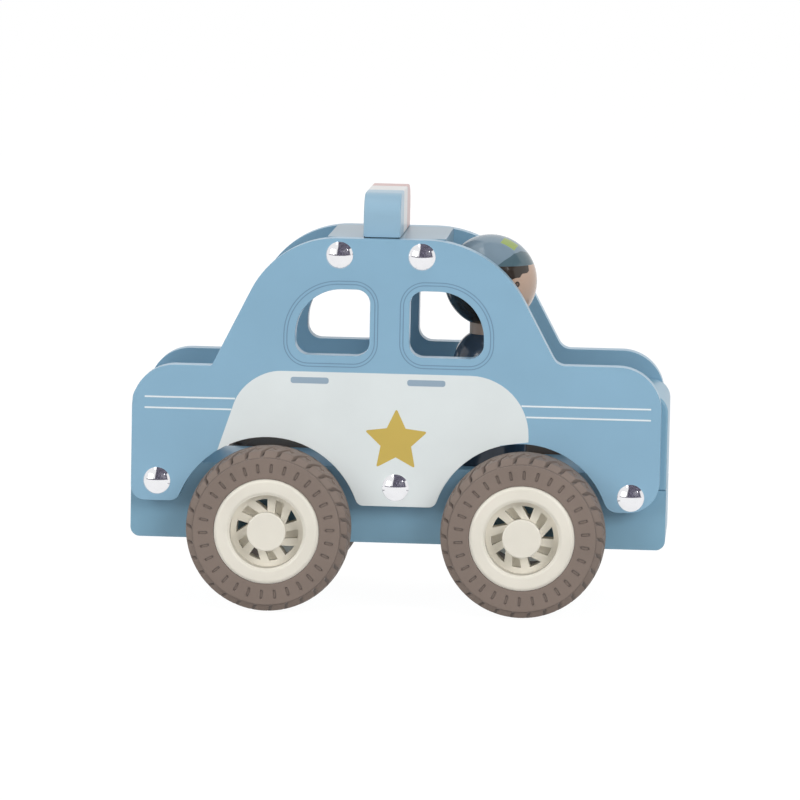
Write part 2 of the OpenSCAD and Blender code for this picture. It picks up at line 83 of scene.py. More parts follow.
ambient = 0.36
world = bpy.data.worlds.new("white_surround")
scene.world = world
world.use_nodes = True
surround = world.node_tree
light_ground = surround.nodes["Background"]
light_ground.inputs["Strength"].default_value = ambient
white_ground = surround.nodes.new("ShaderNodeBackground")
for ground in (light_ground, white_ground):
    ground.inputs["Color"].default_value = (1, 1, 1, 1)
ground_mix = surround.nodes.new("ShaderNodeMixShader")
surround.links.new(seen_directly(surround), ground_mix.inputs["Fac"])
surround.links.new(light_ground.outputs[0], ground_mix.inputs[1])
surround.links.new(white_ground.outputs[0], ground_mix.inputs[2])
surround.links.new(ground_mix.outputs[0], surround.nodes["World Output"].inputs["Surface"])

floor_r = 14
floor_glow = 0.97
floor_catch = 0.08
floor_albedo = 0.6


def floor_white():
    """White to the eye, with the soft shadow kept, and a pale matt bounce for everything else."""
    material, tree, shader = shaded("floor_white")
    shader.inputs["Base Color"].default_value = (floor_albedo, floor_albedo, floor_albedo, 1)
    shader.inputs["Roughness"].default_value = 1
    shader.inputs["Specular IOR Level"].default_value = 0
    glow = tree.nodes.new("ShaderNodeEmission")
    glow.inputs["Strength"].default_value = floor_glow
    catch = tree.nodes.new("ShaderNodeBsdfDiffuse")
    catch.inputs["Color"].default_value = (floor_catch, floor_catch, floor_catch, 1)
    both = tree.nodes.new("ShaderNodeAddShader")
    tree.links.new(glow.outputs[0], both.inputs[0])
    tree.links.new(catch.outputs[0], both.inputs[1])
    mix = tree.nodes.new("ShaderNodeMixShader")
    tree.links.new(seen_directly(tree), mix.inputs["Fac"])
    tree.links.new(shader.outputs[0], mix.inputs[1])
    tree.links.new(both.outputs[0], mix.inputs[2])
    tree.links.new(mix.outputs[0], tree.nodes["Material Output"].inputs["Surface"])
    return material


bm = bmesh.new()
bmesh.ops.create_circle(bm, cap_ends=True, segments=96, radius=floor_r)
floor = add_mesh("floor", bm, floor_white())

curtain_left, curtain_right = -0.3, 2.2
curtain_y, curtain_low, curtain_high, curtain_back = -0.95, 0.17, 1.45, 0.6
rear_curtain_right, rear_curtain_low = -0.35, 0.3
rail_y, rail_half, rail_low, rail_high = -0.93, 3, 0.04, 0.17
cloth_violet = (0.8, 0.75, 1, 1)
glint_scale, glint_from, glint_full = 14, 0.5, 0.72


def cloth(name, dim, glint):
    """A side of the room, with a few paler glints, that shows in polished pieces."""
    material, tree, shader = shaded(name)
    coords = tree.nodes.new("ShaderNodeTexCoord")
    glints = tree.nodes.new("ShaderNodeTexNoise")
    glints.inputs["Scale"].default_value = glint_scale
    tree.links.new(coords.outputs["Object"], glints.inputs["Vector"])
    ramp = tree.nodes.new("ShaderNodeMapRange")
    ramp.inputs["From Min"].default_value = glint_from
    ramp.inputs["From Max"].default_value = glint_full
    ramp.inputs["To Min"].default_value = dim
    ramp.inputs["To Max"].default_value = glint
    tree.links.new(glints.outputs["Fac"], ramp.inputs["Value"])
    glow = tree.nodes.new("ShaderNodeEmission")
    glow.inputs["Color"].default_value = cloth_violet
    tree.links.new(ramp.outputs["Result"], glow.inputs["Strength"])
    tree.links.new(glow.outputs[0], tree.nodes["Material Output"].inputs["Surface"])
    return material


def for_mirrors_only(flag):
    """Makes a piece of the studio show in polished surfaces and nowhere else."""
    flag.visible_camera = False
    flag.visible_diffuse = False
    flag.visible_shadow = False
    flag.visible_transmission = False


def hang(name, material, left, right, y, low, steps):
    """A cloth from a level hem, grown in steps of rise and depth, for mirror rays only."""
    bm = bmesh.new()
    edge = bm.edges.new([bm.verts.new((x, y, low)) for x in (left, right)])
    for rise, depth in steps:
        grown = bmesh.ops.extrude_edge_only(bm, edges=[edge])["geom"]
        moved = [v for v in grown if isinstance(v, bmesh.types.BMVert)]
        bmesh.ops.translate(bm, verts=moved, vec=(0, depth, rise))
        edge = next(e for e in grown if isinstance(e, bmesh.types.BMEdge))
    for_mirrors_only(add_mesh(name, bm, material))


dark_cloth = cloth("dark_cloth", 0.10, 0.55)
hang("curtain", dark_cloth, curtain_left, curtain_right, curtain_y, curtain_low,
     ((curtain_high - curtain_low, 0), (0, curtain_back - curtain_y)))
hang("rear_curtain", dark_cloth, -curtain_right, rear_curtain_right, -curtain_y,
     rear_curtain_low, ((curtain_high, 0),))
hang("rail", dark_cloth, -rail_half, rail_half, rail_y, rail_low, ((rail_high - rail_low, 0),))

# The point on the car that the lamps and the camera face.
aim = Vector((-0.001365, 0, 0.071514))


def soft_lamp(name, place, width, height, power):
    """A rectangular soft box turned to face the car."""
    data = bpy.data.lights.new(name, "AREA")
    data.shape = "RECTANGLE"
    data.size = width
    data.size_y = height
    data.energy = power
    lamp = bpy.data.objects.new(name, data)
    scene.collection.objects.link(lamp)
    lamp.location = place
    lamp.rotation_euler = (aim - Vector(place)).to_track_quat("-Z", "Y").to_euler()
    return lamp


soft_lamp("right_soft_box", (1.0, -1.25, 0.75), 0.8, 0.8, 13)
soft_lamp("left_soft_box", (-1.35, -1.3, 0.7), 1.0, 0.9, 12)
soft_lamp("top_soft_box", (0, -0.2, 1.9), 1.4, 1.0, 8)
rear_lamp = soft_lamp("rear_soft_box", (-0.5, 1.7, 0.5), 1.2, 0.7, 9)
rear_lamp.visible_glossy = False

# Camera: a long lens a little above the car and a little ahead of its middle, rolled slightly,
# as the photograph was taken. The photograph is 800 pixels square.
image_px = 800
focal_px = 5661.8
sensor_mm = 36
camera_distance = 2.032
camera_azimuth = radians(3.54)
camera_elevation = radians(6.66)
camera_roll = radians(1.12)

back = Vector((
    sin(camera_azimuth) * cos(camera_elevation),
    -cos(camera_azimuth) * cos(camera_elevation),
    sin(camera_elevation),
))
level = Vector((cos(camera_azimuth), sin(camera_azimuth), 0))
upright = back.cross(level)
right = level * cos(camera_roll) + upright * sin(camera_roll)
up = upright * cos(camera_roll) - level * sin(camera_roll)
camera_data = bpy.data.cameras.new("camera")
camera_data.sensor_width = sensor_mm
camera_data.lens = focal_px * sensor_mm / image_px
camera = bpy.data.objects.new("camera", camera_data)
scene.collection.objects.link(camera)
camera.matrix_world = (
    Matrix.Translation(aim + back * camera_distance)
    @ Matrix((right, up, back)).transposed().to_4x4()
)
scene.camera = camera

# Chassis: a thick block of solid wood, bored for the axles and rods, sanded along its edges and
# sprayed in satin blue. The end blocks stand in rebates at its front and rear.
weld_gap = 1e-6
flat_angle = radians(0.4)
sharp_angle = radians(30)
edge_steps = 4


def ease(bm, edge_r):
    """Sands the sharp outer edges of a bmesh round."""
    sharp = [e for e in bm.edges if e.is_manifold and e.calc_face_angle_signed() > sharp_angle]
    bmesh.ops.bevel(
        bm, geom=sharp, offset=edge_r, offset_type="OFFSET", segments=edge_steps, profile=0.5,
        affect="EDGES", clamp_overlap=True, material=-1)


def eased_copy(node, edge_r):
    """A bmesh of a CAD piece whose sharp outer edges are sanded round."""
    bm = bmesh.new()
    bm.from_mesh(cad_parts[node].data)
    bmesh.ops.remove_doubles(bm, verts=bm.verts, dist=weld_gap)
    bmesh.ops.dissolve_limit(bm, angle_limit=flat_angle, verts=bm.verts, edges=bm.edges)
    ease(bm, edge_r)
    return bm


def smooth_flats(piece):
    """Shades rounded edges smooth and keeps the flat faces flat."""
    piece.data.shade_smooth()
    piece.data.set_sharp_from_angle(angle=sharp_angle)
    normals = piece.modifiers.new("flat_faces", "WEIGHTED_NORMAL")
    normals.keep_sharp = True


def stand_for(node, bm, material, body):
    """Shows a finished bmesh in place of a CAD piece."""
    piece = add_mesh(node + "_finished", bm, material)
    smooth_flats(piece)
    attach(piece, body)
    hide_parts(node)
    return piece


def noise(tree, scale, detail=3.0):
    """Noise on the piece's own coordinates, with its own scale along X, Y and Z."""
    coords = tree.nodes.new("ShaderNodeTexCoord")
    stretch = tree.nodes.new("ShaderNodeMapping")
    stretch.inputs["Scale"].default_value = scale
    texture = tree.nodes.new("ShaderNodeTexNoise")
    texture.inputs["Scale"].default_value = 1
    texture.inputs["Detail"].default_value = detail
    tree.links.new(coords.outputs["Object"], stretch.inputs["Vector"])
    tree.links.new(stretch.outputs["Vector"], texture.inputs["Vector"])
    return texture.outputs["Fac"]


noise_low, noise_high = 0.3, 0.7


def spread(tree, value, low, high):
    """Noise spread between two plain values."""
    ramp = tree.nodes.new("ShaderNodeMapRange")
    ramp.inputs["From Min"].default_value = noise_low
    ramp.inputs["From Max"].default_value = noise_high
    ramp.inputs["To Min"].default_value = low
    ramp.inputs["To Max"].default_value = high
    tree.links.new(value, ramp.inputs["Value"])
    return ramp.outputs["Result"]


def tint(tree, value, colour, change):
    """A colour that grows a little lighter and darker with a noise."""
    mix = tree.nodes.new("ShaderNodeMix")
    mix.data_type = "RGBA"
    mix.inputs["A"].default_value = (*(c * (1 - change) for c in colour), 1)
    mix.inputs["B"].default_value = (*(min(1, c * (1 + change)) for c in colour), 1)
    tree.links.new(spread(tree, value, 0, 1), mix.inputs["Factor"])
    return mix.outputs["Result"]


def dent(tree, value, depth, shader):
    """Lets a noise show in the surface, to a depth in metres."""
    bump = tree.nodes.new("ShaderNodeBump")
    bump.inputs["Distance"].default_value = depth
    tree.links.new(value, bump.inputs["Height"])
    tree.links.new(bump.outputs["Normal"], shader.inputs["Normal"])


along_grain = (60, 900, 900)
grain_depth = 3e-6
lacquer_cloud = (45, 45, 45)
cloud_change = 0.025
shine_change = 0.02


def lacquer(name, colour, gloss):
    """Sprayed lacquer on sanded wood: long grain just tells under it, and the coat is uneven."""
    material, tree, shader = shaded(name)
    cloud = noise(tree, lacquer_cloud)
    grain = noise(tree, along_grain)
    tree.links.new(tint(tree, cloud, colour, cloud_change), shader.inputs["Base Color"])
    shine = spread(tree, grain, gloss - shine_change, gloss + shine_change)
    tree.links.new(shine, shader.inputs["Roughness"])
    dent(tree, grain, grain_depth, shader)
    return material


# The panels' blue set a little darker: painted shade for the shadow under the panels and wheels.
shaded_chassis_blue = (0.22, 0.41, 0.545)
chassis_satin = 0.34
chassis_lacquer = lacquer("chassis_lacquer", shaded_chassis_blue, chassis_satin)
block_edge_r = 0.0009
for node in ("chassis_block", "front_end_block", "rear_end_block"):
    stand_for(node, eased_copy(node, block_edge_r), chassis_lacquer, "car")

# Side panels: plywood cut to one outline, edges rounded over and sprayed blue. The door field is
# white, and a star, handles, pinstripes and window lines are printed on the outer faces.
mm = 0.001
satin = 0.3
panel_blue = (0.25, 0.44, 0.59)
panel_lacquer = lacquer("panel_lacquer", panel_blue, satin)
panel_edge_r = 0.0011
outer_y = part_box("left_side_panel")[1][1]
arc_steps = 14


def outline(points, radii, y):
    """A flat face across Y whose corners, given in millimetres, have their own roundings."""
    bm = bmesh.new()
    corners = [bm.verts.new((x * mm, y, z * mm)) for x, z in points]
    bm.faces.new(corners)
    for i, r in enumerate(radii):
        if r:
            here = Vector(points[i])
            ahead = Vector(points[(i + 1) % len(points)]) - here
            reach = r / tan((Vector(points[i - 1]) - here).angle(ahead) / 2)
            bmesh.ops.bevel(
                bm, geom=[corners[i]], offset=reach * mm, offset_type="OFFSET", segments=arc_steps,
                profile=0.5, affect="VERTICES", clamp_overlap=False, material=-1)
    bm.normal_update()
    return bm


def thicken(bm, depth):
    """Gives a flat face its thickness along Y."""
    grown = bmesh.ops.extrude_face_region(bm, geom=bm.faces[:])["geom"]
    moved = [v for v in grown if isinstance(v, bmesh.types.BMVert)]
    bmesh.ops.translate(bm, verts=moved, vec=(0, depth, 0))
    bmesh.ops.recalc_face_normals(bm, faces=bm.faces)
    return bm


def cut_with(bm, tool, operation):
    """A new bmesh: the first one cut or kept by the second."""
    body = add_mesh("cut_body", bm.copy(), panel_lacquer)
    cutter = add_mesh("cutter", tool.copy(), panel_lacquer)
    boolean = body.modifiers.new("cut", "BOOLEAN")
    boolean.operation = operation
    boolean.solver = "EXACT"
    boolean.object = cutter
    cut = body.evaluated_get(bpy.context.evaluated_depsgraph_get())
    result = bmesh.new()
    result.from_mesh(bpy.data.meshes.new_from_object(cut))
    bpy.data.objects.remove(body)
    bpy.data.objects.remove(cutter)
    return result


door_white = (0.75, 0.80, 0.80)
door_lacquer = lacquer("door_lacquer", door_white, satin)
door_field = (
    [(-54.3, 84.5), (46.3, 84.5), (46.3, 61.4), (36.3, 60.0), (36.3, 20), (-75.8, 20)],
    [17.5, 21, 0, 0, 0, 0],
)
door_depth = 0.00125
door_over = 0.001
for node, side in (("right_side_panel", -1), ("left_side_panel", 1)):
    panel = eased_copy(node, panel_edge_r)
    field = outline(*door_field, side * (outer_y - door_depth))
    door = thicken(field, side * (door_depth + door_over))
    stand_for(node, cut_with(panel, door, "DIFFERENCE"), panel_lacquer, "car")
    inlay = add_mesh(node + "_door", cut_with(panel, door, "INTERSECT"), door_lacquer)
    smooth_flats(inlay)
    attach(inlay, "car")
    panel.free()
    door.free()

film_sunk = 2e-5
film_proud = 3.5e-5


def printed(name, bm, side, material):
    """A print on the outer face of one panel, thin as paint."""
    film = add_mesh(name, thicken(bm, side * (film_sunk + film_proud)), material)
    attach(film, "car")


def star_points(centre, outer, inner, tips=5):
    """The corners of a star with one tip up, by turns outer and inner."""
    return [
        (centre[0] + r * sin(i * pi / tips), centre[1] + r * cos(i * pi / tips))
        for i in range(2 * tips) for r in ((outer, inner)[i % 2],)
    ]


def bar_points(left, right, low, high):
    """The corners of an upright rectangle."""
    return [(left, low), (left, high), (right, high), (right, low)]


star_gold = lacquer("star_gold", (0.59, 0.43, 0.09), satin)
handle_blue = lacquer("handle_blue", (0.30, 0.40, 0.495), satin)
stripe_white = lacquer("stripe_white", (0.80, 0.86, 0.88), satin)
trim_blue = lacquer("trim_blue", (0.162, 0.283, 0.412), satin)
star_centre = (-0.55, 60.5)
star_outer, star_inner, star_tip_r = 11.7, 5.7, 0.5
handle_places = (-31.5, 9.8)
handle_half, handle_low, handle_high, handle_r = 6.75, 80.3, 82.5, 0.9
stripe_rear, stripe_front, stripe_half = -90, 89.3, 0.29
# Each pinstripe's height, with its ends at the door field.
stripes = ((74.2, -57.9, 43.6), (70.3, -59.1, 45.3))
# Each window's rear, front, lower and upper edge, with the roundings of its corners.
trims = (
    (-37.35, -11.35, 90.0, 113.3, (5, 15.5, 5, 5)),
    (3.7, 29.7, 90.2, 113.5, (5, 5, 15.5, 5)),
)
trim_offsets = (2.65, 3.75)
trim_width = 0.00036
for side, word in ((-1, "right"), (1, "left")):
    y = side * (outer_y - film_sunk)
    star = outline(star_points(star_centre, star_outer, star_inner), [star_tip_r, 0] * 5, y)
    printed(word + "_star", star, side, star_gold)
    for i, x in enumerate(handle_places):
        corners = bar_points(x - handle_half, x + handle_half, handle_low, handle_high)
        handle = outline(corners, [handle_r] * 4, y)
        printed(f"{word}_handle_{i}", handle, side, handle_blue)
    for i, (z, left, right_end) in enumerate(stripes):
        for ends in ((stripe_rear, left), (right_end, stripe_front)):
            stripe = outline(bar_points(*ends, z - stripe_half, z + stripe_half), [0] * 4, y)
            printed(f"{word}_stripe_{i}", stripe, side, stripe_white)
    for i, (left, right_end, low, high, radii) in enumerate(trims):
        for offset in trim_offsets:
            corners = bar_points(left - offset, right_end + offset, low - offset, high + offset)
            ring = outline(corners, [r + offset for r in radii], y)
            middle = ring.faces[:]
            bmesh.ops.inset_region(
                ring, faces=middle, thickness=trim_width, use_boundary=True,
                use_even_offset=True)
            bmesh.ops.delete(ring, geom=middle, context="FACES")
            printed(f"{word}_trim_{i}", ring, side, trim_blue)

# Roof: a block between the panels, with the light bar doweled on top of it. The bar is a block
# with two rounded upper corners, painted in thirds across the car: blue, white and coral. Its
# downward faces are painted dark, a painted shadow line where the bar stands on the roof.
roof_lacquer = lacquer("roof_lacquer", (0.24, 0.36, 0.45), satin)
roof_edge_r = 0.0006
roof = eased_copy("roof_block", roof_edge_r)
stand_for("roof_block", roof, roof_lacquer, "car")
bar_blue = lacquer("bar_blue", (0.30, 0.474, 0.604), satin)
bar_white = lacquer("bar_white", (0.75, 0.745, 0.74), satin)
bar_coral = lacquer("bar_coral", (0.62, 0.36, 0.34), satin)
bar_foot_painted_shadow = lacquer("bar_foot_painted_shadow", (0.035, 0.05, 0.065), satin)
bar_edge_r = 0.0006
bar_end_r = 0.008
bar_third = 0.0094
foot_tilt = -0.2
bar_low, bar_high = (Vector(corner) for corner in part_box("light_bar"))
bar = bmesh.new()
bmesh.ops.create_cube(bar, size=1)
bmesh.ops.scale(bar, vec=bar_high - bar_low, verts=bar.verts)
bmesh.ops.translate(bar, vec=(bar_low + bar_high) / 2, verts=bar.verts)
upper_ends = [
    e for e in bar.edges
    if all(v.co.z > bar_low.z for v in e.verts) and e.verts[0].co.y * e.verts[1].co.y > 0
]
bmesh.ops.bevel(
    bar, geom=upper_ends, offset=bar_end_r, offset_type="OFFSET", segments=arc_steps, profile=0.5,
    affect="EDGES", clamp_overlap=False, material=-1)
ease(bar, bar_edge_r)
for y in (-bar_third, bar_third):
    bmesh.ops.bisect_plane(
        bar, geom=bar.verts[:] + bar.edges[:] + bar.faces[:], plane_co=(0, y, 0),
        plane_no=(0, 1, 0))
bar.normal_update()
for face in bar.faces:
    y = face.calc_center_median().y
    face.material_index = 0 if y < -bar_third else 2 if y > bar_third else 1
    # Downward faces of the bar get the dark paint: painted shadow at its foot.
    if face.normal.z < foot_tilt:
        face.material_index = 3
painted_bar = stand_for("light_bar", bar, bar_blue, "car")
for paint in (bar_white, bar_coral, bar_foot_painted_shadow):
    painted_bar.data.materials.append(paint)

# Rods and caps: drawn steel rods through the car, with a polished dome pressed on each end.
# The dowels are bare turned beech.


def turned(profile, steps):
    """A bmesh turned round Z from points given as radius and height in millimetres."""
    bm = bmesh.new()
    points = [bm.verts.new((r * mm, 0, z * mm)) for r, z in profile]
    edges = [bm.edges.new(pair) for pair in zip(points, points[1:])]
    bmesh.ops.spin(
        bm, geom=points + edges, axis=(0, 0, 1), cent=(0, 0, 0), angle=2 * pi, steps=steps,
        use_merge=True, use_duplicate=False)
    bmesh.ops.remove_doubles(bm, verts=bm.verts, dist=weld_gap)
    bmesh.ops.recalc_face_normals(bm, faces=bm.faces)
    return bm


def arc(centre, r, start, end, steps):
    """Points on a circle, from one angle in degrees to another."""
    angles = [radians(start + (end - start) * i / steps) for i in range(steps + 1)]
    return [(centre[0] + r * cos(a), centre[1] + r * sin(a)) for a in angles]


wear_change = 0.02
polish_share = 0.2


def metal(name, colour, gloss, scale):
    """Bare metal with a faint uneven polish."""
    material, tree, shader = shaded(name)
    wear = noise(tree, scale)
    shader.inputs["Metallic"].default_value = 1
    tree.links.new(tint(tree, wear, colour, wear_change), shader.inputs["Base Color"])
    polish = spread(tree, wear, gloss * (1 - polish_share), gloss * (1 + polish_share))
    tree.links.new(polish, shader.inputs["Roughness"])
    return material


chrome = metal("chrome", (0.82, 0.82, 0.84), 0.085, (400, 400, 400))
steel = metal("drawn_steel", (0.56, 0.57, 0.59), 0.26, (900, 40, 900))
cap_r, cap_h = 4.8, 2.1
dome_rings, dome_steps = 24, 96
dome_r = (cap_r * cap_r + cap_h * cap_h) / (2 * cap_h)
dome_edge = 90 - degrees(asin(cap_r / dome_r))
cap_places = ((-85.3, 44.2), (-0.5, 43.9), (82.8, 42.5), (-21.75, 126), (7.35, 126))
dome_arc = arc((0, cap_h - dome_r), dome_r, dome_edge, 90, dome_rings)
for node, side in (("right_dome_caps", -1), ("left_dome_caps", 1)):
    caps = bmesh.new()
    for x, z in cap_places:
        dome = turned([(0, 0), (cap_r, 0)] + dome_arc, dome_steps)
        spot = Matrix.Translation((x * mm, side * outer_y, z * mm))
        facing_out = Matrix.Rotation(-side * pi / 2, 4, "X")
        bmesh.ops.transform(dome, matrix=spot @ facing_out, verts=dome.verts)
        one = bpy.data.meshes.new("dome")
        dome.to_mesh(one)
        dome.free()
        caps.from_mesh(one)
        bpy.data.meshes.remove(one)
    stand_for(node, caps, chrome, "car")


def dress(node, material):
    """Gives a CAD piece its finish as it stands."""
    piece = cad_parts[node]
    piece.data.materials.clear()
    piece.data.materials.append(material)


def bare_beech():
    """Turned beech with its short upright flecks."""
    material, tree, shader = shaded("bare_beech")
    flecks = noise(tree, (700, 700, 60), 4)
    tree.links.new(tint(tree, flecks, (0.62, 0.42, 0.24), 0.12), shader.inputs["Base Color"])
    tree.links.new(spread(tree, flecks, 0.5, 0.65), shader.inputs["Roughness"])
    return material


steel_nodes = (
    "chassis_tie_rods", "roof_tie_rods", "front_axle", "rear_axle", "front_axle_washers",
    "rear_axle_washers",
)
for node in steel_nodes:
    dress(node, steel)
beech = bare_beech()
for node in ("light_bar_dowels", "driver_neck_dowel"):
    dress(node, beech)

# Wheels: moulded rubber tyres with slanted shoulder grooves, notches between them and short marks
# round the sidewall, on cream plastic hubs with a flat round cap over the axle's end.
tyre_r, crown_r, tyre_half, wheel_y = 29.2, 44, 10.75, 37.25
bore_r, seat_r, seat_z = 16.25, 18.65, 7.7
ledge_r, ledge_z, ledge_edge_r = 26, 9.9, 0.25
tread_count = 30
tread_pitch = 2 * pi / tread_count
groove_mid, groove_inner, groove_floor, groove_fall = 7.65, 2, 26.8, 0.25
groove_half_low, groove_half_high = 0.5, 0.68
groove_slant, groove_squeeze, groove_r = 0.5316, 0.88, 28.5
groove_lean = groove_slant / groove_r
notch_lead = radians(4.6)
notch_low, notch_tip, notch_half, notch_sunk = 4.2, 6.8, 1.2, 1.5
mark_mid, mark_half, mark_sunk, mark_r_low, mark_r_high = 22.4, 1.1, 0.6, 0.42, 0.62
tyre_steps = 720


def soft_step(value, low, high):
    """Zero below low, one above high, and smooth between them."""
    t = min(1, max(0, (value - low) / (high - low)))
    return t * t * (3 - 2 * t)


def off_pitch(angle):
    """How far an angle is from the nearest multiple of the tread's pitch."""
    return (angle + tread_pitch / 2) % tread_pitch - tread_pitch / 2


def tread_radius(angle, z, r):
    """The radius of the tread at an angle and a height, with its grooves and notches sunk in."""
    shift = tread_pitch / 2 if z > 0 else 0
    height = abs(z)
    line = angle - shift - groove_lean * (height - groove_mid)
    across = abs(off_pitch(line)) * r * groove_squeeze
    sunk = 1 - soft_step(across, groove_half_low, groove_half_high)
    sunk *= soft_step(height, groove_inner - 0.1, groove_inner + 0.25)
    floor_here = groove_floor - groove_fall * (height - groove_mid)
    r -= max(0, r - floor_here) * sunk
    beside = abs(off_pitch(angle - shift - notch_lead)) * r
    flank = (notch_tip - height) * notch_half / (notch_tip - notch_low)
    inside = min(flank - beside, height - notch_low)
    return r - notch_sunk * soft_step(inside, -0.05, 0.25)


def mark_depth(angle, r):
    """How deep the sidewall's short radial marks are at an angle and a radius."""
    along = max(0, abs(r - mark_mid) - mark_half)
    away = hypot(along, off_pitch(angle) * r)
    return mark_sunk * (1 - soft_step(away, mark_r_low, mark_r_high))


def crown(z):
    """The plain radius of the tread at a height."""
    return tyre_r - crown_r + sqrt(crown_r * crown_r - z * z)


def tyre_profile():
    """The section of a tyre from the inner edge of its bore to the outer one."""
    lip = [(bore_r, seat_z), (seat_r, seat_z), (seat_r, 10.5), (18.75, 10.68)]
    wall = [(r, tyre_half) for r in (18.95, 19.6, 20.2)]
    marked = [(20.6 + 0.2 * i, tyre_half) for i in range(19)]
    plain = [(r, tyre_half) for r in (22, 24)]
    edge = (ledge_r - ledge_edge_r, tyre_half - ledge_edge_r)
    ledge = (
        [(r, tyre_half) for r in (25, 25.7)] + arc(edge, ledge_edge_r, 80, 0, 4)
        + [(ledge_r, ledge_z + 0.05), (ledge_r + 0.04, ledge_z)]
    )
    slope = [(26.3 + 0.2 * i, 9.88 - 0.14 * i) for i in range(11)]
    tread = [(crown(z), z) for z in (8.3 - 0.22 * i for i in range(20))]
    middle = [(crown(z), z) for z in (-3.4, -2.2, -1, 1, 2.2, 3.4)]
    inner = lip + wall + plain + ledge + slope + tread
    outer = lip + wall + marked + ledge + slope + tread
    return [(r, -z) for r, z in inner] + middle + outer[::-1]


def moulded_tyre():
    """One tyre about Z, outer side up. Its columns lean with the grooves, which stay crisp."""
    bm = turned(tyre_profile(), tyre_steps)
    for vert in bm.verts:
        r, z = hypot(vert.co.x, vert.co.y) / mm, vert.co.z / mm
        angle = atan2(vert.co.y, vert.co.x)
        angle += groove_lean * (min(max(abs(z), 1.5), ledge_z) - groove_mid)
        if r > ledge_r + 0.05:
            r = tread_radius(angle, z, r)
        elif z > tyre_half - 0.05:
            z -= mark_depth(angle, r)
        vert.co = (r * cos(angle) * mm, r * sin(angle) * mm, z * mm)
    bmesh.ops.recalc_face_normals(bm, faces=bm.faces)
    return bm


patch_scale = (60, 60, 60)
patch_change = 0.04
skin_change = 0.06


def matt(name, colour, rough, scale, depth):
    """A moulded material: a fine skin, a little uneven in colour and shine."""
    material, tree, shader = shaded(name)
    skin = noise(tree, scale)
    patches = tint(tree, noise(tree, patch_scale), colour, patch_change)
    tree.links.new(patches, shader.inputs["Base Color"])
    shine = spread(tree, skin, rough - skin_change, rough + skin_change)
    tree.links.new(shine, shader.inputs["Roughness"])
    dent(tree, skin, depth, shader)
    return material


crevice_bend, flat_bend, crevice_shade = 0.42, 0.495, 0.22


def paint_crevice_shade(material):
    """Paints shade into a moulded material where its surface folds inwards: painted shade in
    grooves and creases.
    """
    tree = material.node_tree
    colour = tree.nodes["Principled BSDF"].inputs["Base Color"]
    bend = tree.nodes.new("ShaderNodeNewGeometry")
    crevice_painted_shade = tree.nodes.new("ShaderNodeMapRange")
    crevice_painted_shade.inputs["From Min"].default_value = crevice_bend
    crevice_painted_shade.inputs["From Max"].default_value = flat_bend
    crevice_painted_shade.inputs["To Min"].default_value = crevice_shade
    shade = tree.nodes.new("ShaderNodeVectorMath")
    shade.operation = "MULTIPLY"
    tree.links.new(bend.outputs["Pointiness"], crevice_painted_shade.inputs["Value"])
    tree.links.new(colour.links[0].from_socket, shade.inputs[0])
    tree.links.new(crevice_painted_shade.outputs["Result"], shade.inputs[1])
    tree.links.new(shade.outputs[0], colour)


rubber = matt("brown_rubber", (0.212, 0.163, 0.135), 0.62, (1500, 1500, 1500), 2e-5)
# The tyre's grooves and notches get painted shade.
paint_crevice_shade(rubber)
cream = matt("cream_plastic", (0.80, 0.76, 0.665), 0.36, (1200, 1200, 1200), 4e-6)
hub_edge_r = 0.00022
flag_r, flag_y, flag_steps = 0.0155, 0.0262, 48
# A black sheet for reflections only: painted shade behind the hub windows.
hub_window_shade = cloth("hub_window_shade", 0.004, 0.01)
one_tyre = moulded_tyre()
for end, turn in (("front", radians(5)), ("rear", radians(26.5))):
    axle_low, axle_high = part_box(end + "_axle")
    axle_x = (axle_low[0] + axle_high[0]) / 2
    for word, side in (("right", -1), ("left", 1)):
        name = f"{end}_{word}_"
        place = (
            Matrix.Translation((axle_x, side * wheel_y * mm, tyre_r * mm))
            @ Matrix.Rotation(-side * pi / 2, 4, "X") @ Matrix.Rotation(turn, 4, "Z")
        )
        tyre = one_tyre.copy()
        bmesh.ops.transform(tyre, matrix=place, verts=tyre.verts)
        wheelset = end + "_wheelset"
        rolling = [stand_for(name + "tyre", tyre, rubber, wheelset)]
        for piece in ("hub", "hub_cap"):
            eased = eased_copy(name + piece, hub_edge_r)
            rolling.append(stand_for(name + piece, eased, cream, wheelset))
        # The caps on the camera's side show no wheel. A dark disc that only reflections see sits
        # inside each hub: painted shade that keeps the hub's windows dark.
        if word == "right":
            for piece in rolling:
                piece.visible_glossy = False
            flag = bmesh.new()
            bmesh.ops.create_circle(flag, cap_ends=True, segments=flag_steps, radius=flag_r)
            sunk = Matrix.Translation((0, 0, flag_y - wheel_y * mm))
            bmesh.ops.transform(flag, matrix=place @ sunk, verts=flag.verts)
            for_mirrors_only(add_mesh(name + "flag", flag, hub_window_shade))
one_tyre.free()

# Driver: a turned peg in gloss paint, navy to the collar, with a ball head that has a cap with a
# visor and a badge, dark hair with a fringe, two eyes, each with a painted highlight in its
# middle, and soft cheeks.
driver_x = 0.0303
head_r, head_z = 16.6, 115.4
neck_r, neck_z, neck_foot_z = 7.2, 100.443, 97
torso_r, torso_z = 12.8, 85.9
foot_r, foot_z, foot_edge_r, flank_z, flank_steps = 14.5, 46.4, 1.2, 48, 8
collar_z = 96.4
gloss = 0.13
lathe_rings = (30, 30, 900)
navy_paint = (0.066, 0.094, 0.134)
skin_paint = (0.52, 0.36, 0.27)


def lathe_marks(tree, shader, depth):
    """Faint rings from the lathe, in the shine and in the surface of gloss paint."""
    rings = noise(tree, lathe_rings)
    tree.links.new(spread(tree, rings, gloss - 0.02, gloss + 0.03), shader.inputs["Roughness"])
    dent(tree, rings, depth, shader)


def gloss_paint(name, colour):
    """Brushed gloss paint on turned wood, with faint rings from the lathe under it."""
    material, tree, shader = shaded(name)
    patches = tint(tree, noise(tree, (50, 50, 50)), colour, 0.05)
    tree.links.new(patches, shader.inputs["Base Color"])
    lathe_marks(tree, shader, 8e-6)
    return material


